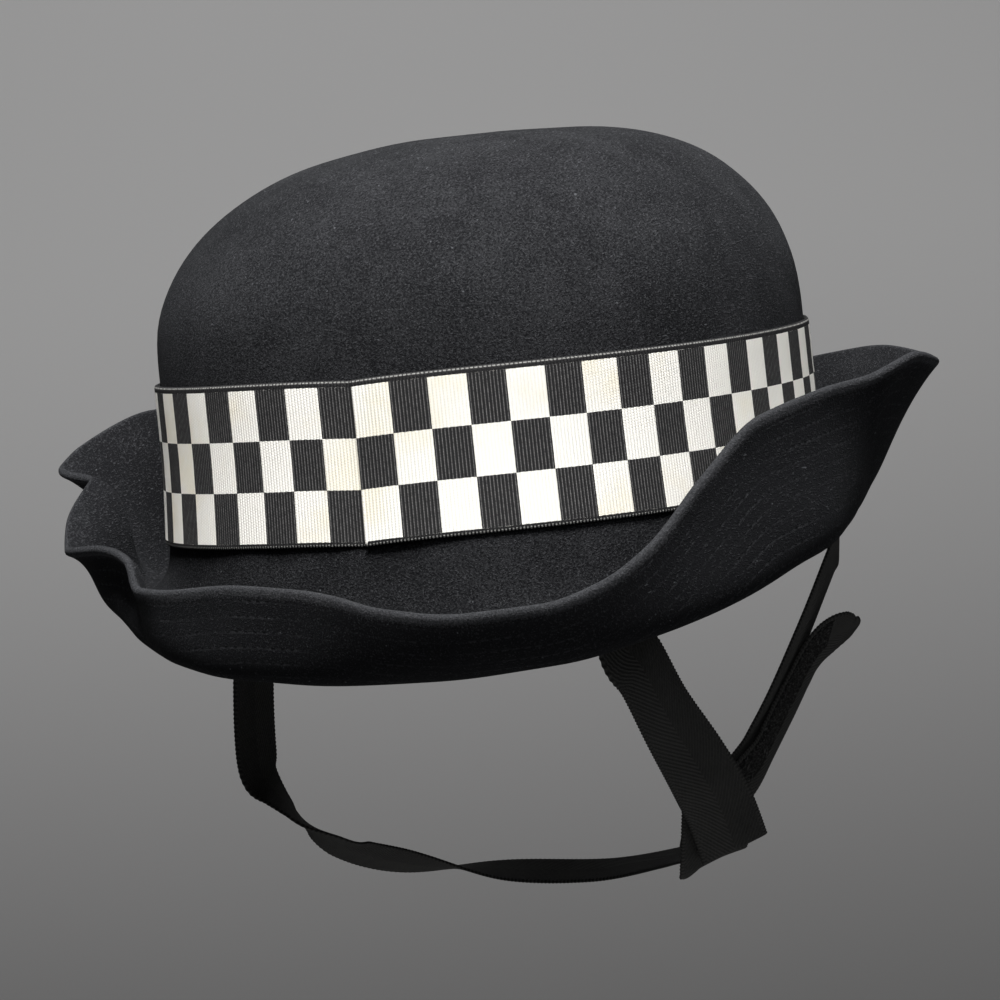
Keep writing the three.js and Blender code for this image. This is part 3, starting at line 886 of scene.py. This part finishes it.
tape = {
    "width": 20,
    "thickness": 1,
    "gap": 0.3,
    "step": 0.32,
    "fineSteps": 60,
    "hemSteps": 5,
    "scallop": 1.27,
    "scallopDepth": 0.16,
    "lines": (0, 0.28, 0.55, 0.82, 0.94, 1),
    "thinning": (0, 0, 0, 0, 0.054, 0.225),
    "cup": 0.1,
    "cupLength": 11,
    "tipLength": 9,
    "tipWidth": 0.6,
    "tipSpare": 4,
}
# Where the tapes meet and fold on the wearer's right. Azimuth and lift give the way the face looks.
fold = {"point": (-63.6, 10.5, -66.9), "down": (0, -0.66, -0.75), "azimuth": 129, "lift": -33.5, "hem": 6}
# Stations along each tape: wall has turn, stand-off and heights inside the crown, run has x, y, z,
# azimuth, lift and the width where it narrows, and fold has down, across and out from the fold
chinTape = {
    "wall": (-101, 0.8, (52, 40, 28)),
    "run": [
        (86.5, -16.5, 10, -12, 0), (89.7, -15, -12, -12, 0), (91.3, -15.1, -35, -12, -2),
        (91, -15.6, -41.2, -7, -9), (88.4, -17, -45.8, 3, -22), (85.4, -18.6, -50.4, 12, -33),
        (82.4, -20.5, -55, 22, -43), (77, -25.7, -61.3, 50, -50), (72.7, -33.8, -66.8, 75, -48),
        (60, -48, -74, 90, -62), (35, -62, -80, -40, -80), (5, -66, -82, -90, -80),
        (-22, -60, -78, -150, -75), (-40, -42, -73, 180, -65), (-50, -18, -69.5, 175, -55),
    ],
    "fold": [
        (9, 7, -10.5, 150, -50), (4.5, 7, -5.2, 138, -40), (0, 5.8, -2.8), (-6, 3.8, -2.6),
        (-13, 1.4, -2.6), (-24, -2.4, -2.6),
    ],
}
backTape = {
    "wall": (40, 1.2, (45, 36, 26)),
    "run": [
        (-58.3, 69.9, -0.6, 155, -5), (-60, 64.4, -7.1, 158, -8), (-61.4, 51.1, -23.1, 157, -12),
        (-63.4, 35.4, -39.5, 146, -24), (-64.2, 23.1, -52.1, 131, -33),
    ],
    "hem": True,
}
frontTape = {
    "wall": (124, 1.8, (46, 38, 30)),
    "run": [
        (-78.5, -53.5, 19, 196, -10), (-83.5, -50.2, 12.1, 188, -18), (-82.6, -47.5, 9.1, 186, -20),
        (-77.6, -34.7, -6.9, 186, -20), (-73.8, -26, -17.6, 186, -20), (-69.3, -15.9, -29.8, 186, -20),
        (-65.6, -8.4, -38.9, 184, -20), (-63.2, -2.8, -44.9, 180, -20),
    ],
    "fold": [(-9, -2.5, -12.8, 162, -25), (-11, 3.5, -8.2, 142, -31), (-14, 9, -5.7)],
}
tailTape = {
    "run": [
        (-85.5, -56.5, -12, 172, -50, 6), (-84.6, -55.6, -12.4, 172, -48, 13),
        (-83.4, -54.6, -12.9, 172, -46, 18), (-81, -52, -13.8, 173, -42), (-77.7, -46.4, -15.6, 175, -32),
        (-75.1, -38.7, -19.6, 178, -22), (-71.7, -28, -28.8, 179, -18), (-68.2, -16.1, -39, 179, -18),
        (-66.2, -8.2, -45.1, 176, -20),
    ],
    "fold": [(-8, -5.5, -12.5, 160, -25), (-11, 1.5, -6.4, 142, -31), (-14, 8, -4.2)],
}


def facing(azimuth, lift):
    around, up = math.radians(azimuth), math.radians(lift)
    return np.array([math.cos(up) * math.cos(around), math.cos(up) * math.sin(around), math.sin(up)])


foldDown = np.array(fold["down"]) / np.linalg.norm(fold["down"])
foldFace = facing(fold["azimuth"], fold["lift"])
foldSide = np.cross(foldDown, foldFace)
foldSide /= np.linalg.norm(foldSide)


def fromFold(down, across, out):
    return np.array(fold["point"]) + foldDown * down + foldSide * across + foldFace * out


def stationsOf(rows):
    # A list of (point, way the outer face looks, width) down a tape
    made = []
    thickness, width = tape["thickness"], tape["width"]
    if "wall" in rows:
        turn, standOff, heights = rows["wall"]
        for height in heights:
            at = onWall(turn, height, -crown["thickness"] - standOff - thickness / 2)
            made.append((at, np.append(straightOut(turn), 0), width))
    for x, y, z, azimuth, lift, *narrow in rows["run"]:
        made.append((np.array([x, y, z], float), facing(azimuth, lift), narrow[0] if narrow else width))
    for down, across, out, *way in rows.get("fold", []):
        made.append((fromFold(down, across, out), facing(*way) if way else foldFace, width))
    if rows.get("hem"):
        layer = thickness + tape["gap"]
        radius = layer / 2
        centre = -radius - thickness / 2
        for angle in np.linspace(0, math.pi, tape["hemSteps"]):
            at = fromFold(centre + radius * math.sin(angle), 0, radius * (math.cos(angle) - 1))
            made.append((at, foldFace * math.cos(angle) + foldDown * math.sin(angle), width))
        made.append((fromFold(-fold["hem"], 0, -layer), -foldFace, width))
    return made


def splineThrough(points, places, centripetal):
    # A Catmull-Rom curve at places counted in points, with its ends run straight on
    points = np.asarray(points, float)
    padded = np.concatenate([[2 * points[0] - points[1]], points, [2 * points[-1] - points[-2]]])
    i = np.minimum(places.astype(int), len(points) - 2)
    t = (places - i)[:, None]
    a, b, c, d = (padded[i + k] for k in range(4))
    if centripetal:
        gaps = []
        for near, far in ((a, b), (b, c), (c, d)):
            gaps.append(np.maximum(np.linalg.norm(far - near, axis=1), 1e-4)[:, None] ** 0.5)
        leave = ((b - a) / gaps[0] - (c - a) / (gaps[0] + gaps[1]) + (c - b) / gaps[1]) * gaps[1]
        arrive = ((c - b) / gaps[1] - (d - b) / (gaps[1] + gaps[2]) + (d - c) / gaps[2]) * gaps[1]
    else:
        leave, arrive = (c - a) / 2, (d - b) / 2
    return (b + leave * t + (3 * (c - b) - 2 * leave - arrive) * t ** 2
            + (2 * (b - c) + leave + arrive) * t ** 3)


def tapeFrame(rows):
    # Points every short step down a tape, with the ways out of its face and across it, its widths
    # and the length so far
    stations = stationsOf(rows)
    points, faces, widths = zip(*stations)
    last = len(stations) - 1
    fine = np.linspace(0, last, tape["fineSteps"] * len(stations))
    run = lengthSoFar(splineThrough(points, fine, True))
    lengths = np.linspace(0, run[-1], int(round(run[-1] / tape["step"])) + 1)
    places = np.interp(lengths, run, fine)
    at = splineThrough(points, places, True)
    nudge = 0.002
    along = (splineThrough(points, np.minimum(places + nudge, last), True)
             - splineThrough(points, np.maximum(places - nudge, 0), True))
    along /= np.linalg.norm(along, axis=1, keepdims=True)
    across = np.cross(splineThrough(faces, places, False), along)
    across /= np.linalg.norm(across, axis=1, keepdims=True)
    widths = np.interp(places, np.arange(len(stations)), widths)
    return at, np.cross(along, across), across, widths, lengths


def makeTape(name, rows, roundTip):
    at, face, across, widths, run = tapeFrame(rows)
    if roundTip:
        tip = np.clip(run / tape["tipLength"], 0, 1)
        tipWidths = tape["width"] * np.sqrt(1 - (1 - tip) ** 2) + tape["tipWidth"]
        widths = np.minimum(np.minimum(tipWidths, widths + tape["tipSpare"]), tape["width"])
    scallop = tape["scallopDepth"] * np.cos(2 * math.pi * run / tape["scallop"])
    shares = np.array([*(-share for share in tape["lines"][:0:-1]), *tape["lines"]])
    thin = np.array([*tape["thinning"][:0:-1], *tape["thinning"]])
    spots = shares[None, :] * (widths / 2 + scallop)[:, None]
    cup = tape["cup"] * (shares ** 2)[None, :] * np.sin(run / tape["cupLength"])[:, None]
    middle = at[:, None] + across[:, None] * spots[..., None] + face[:, None] * cup[..., None]
    half = face[:, None] * (tape["thickness"] / 2 - thin * tape["thickness"])[None, :, None]
    made = ribbonMesh(name, middle + half, middle - half, run, shares * tape["width"] / 2)
    return made, run[-1]


tapeLook = {
    "dark": (0.010, 0.010, 0.010),
    "light": (0.068, 0.068, 0.065),
    "fuzz": (700, 2, 0.6),
    "wear": (60, 3, 0.6),
    "ribPitch": 1.0,
    "ribLean": 30,
    "ribFuzz": 0.12,
    "ribSteps": (0.2, 0.9),
    "strandAlong": 2.1,
    "strandAcross": 0.9,
    "strandFuzz": 0.3,
    "dimColumnSheenLoss": 0.6,
    "edgeSteps": (8.6, 9.6),
    "edgeTone": 0.6,
    "baseTone": 0.2,
    "ribSheenTone": 0.25,
    "strandTone": 0.25,
    "wearTone": 0.4,
    "fuzzTone": 0.25,
    "ribHeight": 0.7,
    "strandHeight": 0.25,
    "fuzzHeight": 0.2,
    "bumpDistance": 0.00035,
    "bumpStrength": 0.9,
}


def tapeMaterial():
    made, tree, shader = newMaterial("herringboneTape")
    look = tapeLook
    place = objectPlace(tree)
    along, across = surfacePlace(tree)
    fuzz = noiseAt(tree, place, *look["fuzz"]) - 0.5
    wear = noiseAt(tree, place, *look["wear"]) - 0.5

    # Two columns of slanting ribs, painted lighter on their crests as a painted sheen that is fainter on
    # one column, and a ladder of thread along each edge
    fromMiddle = across.size()
    lean = math.radians(look["ribLean"])
    slanted = along * math.sin(lean) + fromMiddle * math.cos(lean)
    crest = (slanted / look["ribPitch"] + fuzz * look["ribFuzz"]).ridge()
    strand = along * look["strandAlong"] + across * look["strandAcross"]
    strand = (strand + fuzz * look["strandFuzz"]).ridge()
    # One column of ribs gets a fainter painted sheen: painted shade
    columnSheen = 1 - (across > 0) * look["dimColumnSheenLoss"]
    edge = fromMiddle.step(*look["edgeSteps"])
    ladder = (along / tape["scallop"]).ridge()
    tone = crest.step(*look["ribSteps"]) * (look["ribSheenTone"] + strand * look["strandTone"]) * columnSheen
    tone = tone + look["baseTone"] + wear * look["wearTone"] + fuzz * look["fuzzTone"]
    tone = tone * (1 - edge) + edge * ladder * look["edgeTone"]
    feed(tree, shader, "Base Color", mixColour(tree, tone.clip(), look["dark"], look["light"]))
    height = (crest * look["ribHeight"] + strand * look["strandHeight"]) * (1 - edge)
    height = height + edge * ladder + fuzz * look["fuzzHeight"]
    feed(tree, shader, "Normal", bump(tree, height, look["bumpDistance"], look["bumpStrength"]))
    setConstants(shader, Roughness=0.85, Sheen_Weight=0.02, Specular_IOR_Level=0.15)
    return made


# Hook and loop strip along the tail's outer face, on the side that is nearer the crown

hookStrip = {
    "from": 12,
    "to": 82,
    "left": -8.6,
    "right": 2.2,
    "lines": 24,
    "base": 0.12,
    "depth": 0.1,
    "height": 0.7,
    "fuzz": 0.35,
    "sideSlope": 8,
    "endLength": 1.2,
    "ragged": 0.25,
    "raggedWave": 3.1,
    "raggedFrom": 0.9,
    "seed": 7,
}


def makeHookStrip():
    at, face, across, widths, run = tapeFrame(tailTape)
    keep = (run >= hookStrip["from"]) & (run <= hookStrip["to"])
    at, face, across, run = at[keep], face[keep], across[keep], run[keep]
    spots = np.linspace(hookStrip["left"], hookStrip["right"], hookStrip["lines"])
    shares = np.abs(np.linspace(-1, 1, hookStrip["lines"]))
    sides = np.clip((1 - shares) * hookStrip["sideSlope"], 0, 1)
    ends = np.clip(np.minimum(run - run[0], run[-1] - run) / hookStrip["endLength"], 0, 1)
    pile = sides[None, :] * ends[:, None]
    random = np.random.default_rng(hookStrip["seed"]).random(pile.shape)
    outermost = (shares > hookStrip["raggedFrom"])[None, :]
    ragged = hookStrip["ragged"] * np.sin(run[:, None] * hookStrip["raggedWave"]) * outermost
    base = at[:, None] + across[:, None] * (spots[None, :] + ragged)[..., None]
    base = base + face[:, None] * (tape["thickness"] / 2)
    height = hookStrip["base"] + pile * (hookStrip["height"] - hookStrip["fuzz"] * random)
    front = base + face[:, None] * height[..., None]
    back = base - face[:, None] * hookStrip["depth"]
    return ribbonMesh("hook_strip", front, back, run, spots)


hookLook = {
    "dark": (0.008, 0.008, 0.008),
    "light": (0.05, 0.05, 0.05),
    "speckColour": (0.11, 0.11, 0.11),
    "hairs": (1800, 2, 0.6),
    "hairWay": (20, 50, 30),
    "hairStretch": (1, 0.4, 1),
    "hairSteps": (0.4, 0.75),
    "speck": (620, 1, 0.5),
    "speckSteps": (0.66, 0.74),
    "speckShare": 0.5,
    "bumpDistance": 0.0006,
    "bumpStrength": 1.0,
}


def hookMaterial():
    made, tree, shader = newMaterial("hookAndLoop")
    look = hookLook
    place = objectPlace(tree)
    hairs = noiseAt(tree, stretched(tree, place, look["hairWay"], look["hairStretch"]), *look["hairs"])
    specks = noiseAt(tree, place, *look["speck"]).step(*look["speckSteps"])
    colour = mixColour(tree, hairs.step(*look["hairSteps"]), look["dark"], look["light"])
    colour = mixColour(tree, specks * look["speckShare"], colour, look["speckColour"])
    feed(tree, shader, "Base Color", colour)
    feed(tree, shader, "Normal", bump(tree, hairs, look["bumpDistance"], look["bumpStrength"]))
    setConstants(shader, Roughness=0.95, Specular_IOR_Level=0.1)
    return made


# Build the pieces


def fit(piece, material):
    piece.data.materials.append(material)
    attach(piece, "root")
    print(piece.name, "made with faces:", len(piece.data.polygons))


makeCamera()
makeStudio()
print("camera and studio made")

feltBody = makeFelt()
fit(feltBody, feltMaterial())
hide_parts("felt_hat")

checkedBand, bandLength = makeBand()
fit(checkedBand, bandMaterial())
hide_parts("check_band")

tapeStuff = tapeMaterial()
straps = [
    ("chin_strap", chinTape, "chin_tape"),
    ("back_strap", backTape, "back_tape"),
    ("front_strap", frontTape, "front_tape"),
    ("tail_strap", tailTape, "tail_tape"),
]
for name, rows, cadNode in straps:
    isTail = rows is tailTape
    strap, length = makeTape(name, rows, isTail)
    fit(strap, tapeStuff)
    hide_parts(cadNode)
    if isTail:
        hooks = makeHookStrip()
        fit(hooks, hookMaterial())
    flatTape = (tape["width"] * metre, length * metre)
    print(name, "is long:", round(length, 1))
